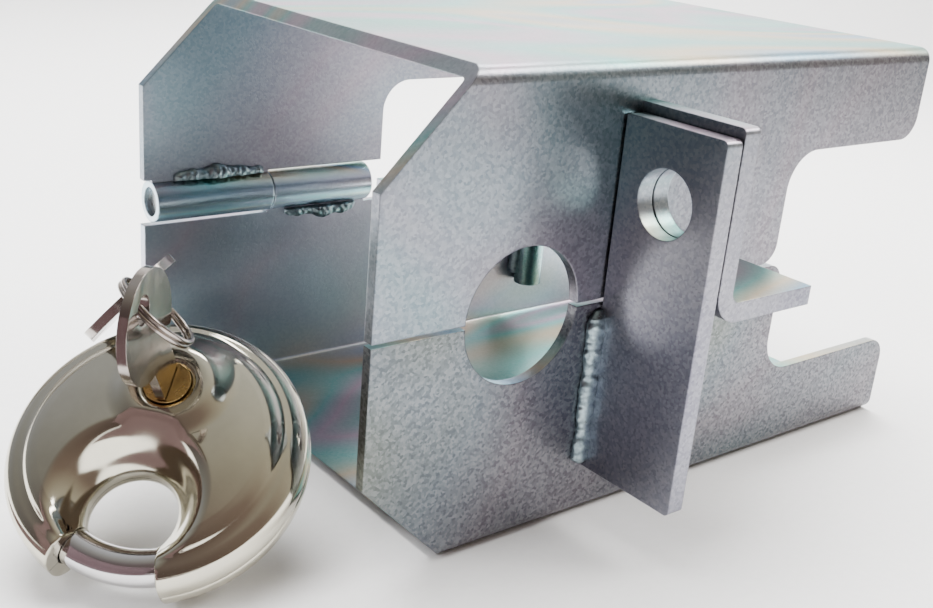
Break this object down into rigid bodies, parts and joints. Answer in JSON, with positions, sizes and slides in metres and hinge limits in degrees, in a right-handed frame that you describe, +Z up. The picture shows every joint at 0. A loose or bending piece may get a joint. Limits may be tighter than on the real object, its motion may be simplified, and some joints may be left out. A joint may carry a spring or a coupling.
{
  "type": "trailer coupler lock",
  "caption": "Hinged two-part folded steel case that closes round a trailer coupler, with a neck hole, hasp plates and a keyed disc padlock.",
  "frame": {"origin": "centre of the lower shell's length and width, on its flat base", "axes": "+X along the case away from its open sloped end, +Y from the neck-hole wall to the hinge wall, +Z up from the base"},
  "size_m": [0.2706, 0.1581, 0.1212],
  "materials": {
    "zinc_steel": "zinc plated, fine sparkle grain with green and pink tints",
    "zinc_plate": "zinc plated, darker grey violet",
    "weld": "lumpy weld bead, plated",
    "pin_steel": "drawn bar, plated",
    "stainless": "polished stainless steel",
    "shackle_steel": "polished, chromed",
    "die_cast": "as cast zinc alloy",
    "brass": "machined",
    "nickel": "nickel plated brass",
    "spring_steel": "wire"
  },
  "bodies": {
    "lower_case": {"lower_shell": "zinc_steel", "lower_hinge_tube": "zinc_steel", "hasp_plate": "zinc_plate", "locating_bar": "pin_steel", "lower_hinge_weld": "weld", "hasp_plate_weld": "weld", "locating_bar_weld": "weld"},
    "upper_case": {"upper_shell": "zinc_steel", "upper_hinge_tube": "zinc_steel", "hinge_pin": "pin_steel", "hasp_bracket": "zinc_plate", "upper_hinge_weld": "weld", "hasp_bracket_weld": "weld"},
    "padlock": {"padlock_front_shell": "stainless", "padlock_back_shell": "stainless", "lock_case_front": "die_cast", "lock_case_back": "die_cast", "cylinder_housing": "brass", "driver_pins": "brass", "pin_springs": "spring_steel"},
    "shackle": {"padlock_shackle": "shackle_steel"},
    "plug": {"cylinder_plug": "brass", "key_pins": "brass", "drive_cam": "pin_steel", "cam_clip": "spring_steel"},
    "key": {"key": "nickel"},
    "ring": {"key_ring": "nickel"},
    "spare": {"spare_key": "nickel"}
  },
  "joints": [
    {"name": "case_hinge", "type": "hinge", "parent": "lower_case", "child": "upper_case", "pos_m": [-0.064, 0.0595, 0.0614], "axis": [-1, 0, 0], "range_deg": [0, 150]},
    {"name": "padlock_lift", "type": "slide", "parent": "lower_case", "child": "padlock", "axis": [0, 0, 1], "range_m": [0, 0.12]},
    {"name": "plug_turn", "type": "hinge", "parent": "padlock", "child": "plug", "pos_m": [-0.12634, -0.01624, 0.03153], "axis": [0.3984, 0.4126, -0.8192], "range_deg": [0, 110]},
    {"name": "shackle_turn", "type": "hinge", "parent": "padlock", "child": "shackle", "pos_m": [-0.1339, -0.0223, 0.0248], "axis": [-0.3984, -0.4126, 0.8192], "range_deg": [0, 60]},
    {"name": "key_slide", "type": "slide", "parent": "plug", "child": "key", "axis": [-0.3984, -0.4126, 0.8192], "range_m": [0, 0.026]},
    {"name": "ring_swing", "type": "hinge", "parent": "key", "child": "ring", "pos_m": [-0.14395, -0.03448, 0.06774], "axis": [0.7093, -0.7048, -0.01], "range_deg": [0, 60]},
    {"name": "spare_swing", "type": "hinge", "parent": "ring", "child": "spare", "pos_m": [-0.13755, -0.01836, 0.06578], "axis": [0.5286, -0.518, -0.6725], "range_deg": [0, 12]}
  ],
  "couplings": [
    {"joint": "shackle_turn", "follows": "plug_turn", "ratio": 0.54545}
  ]
}
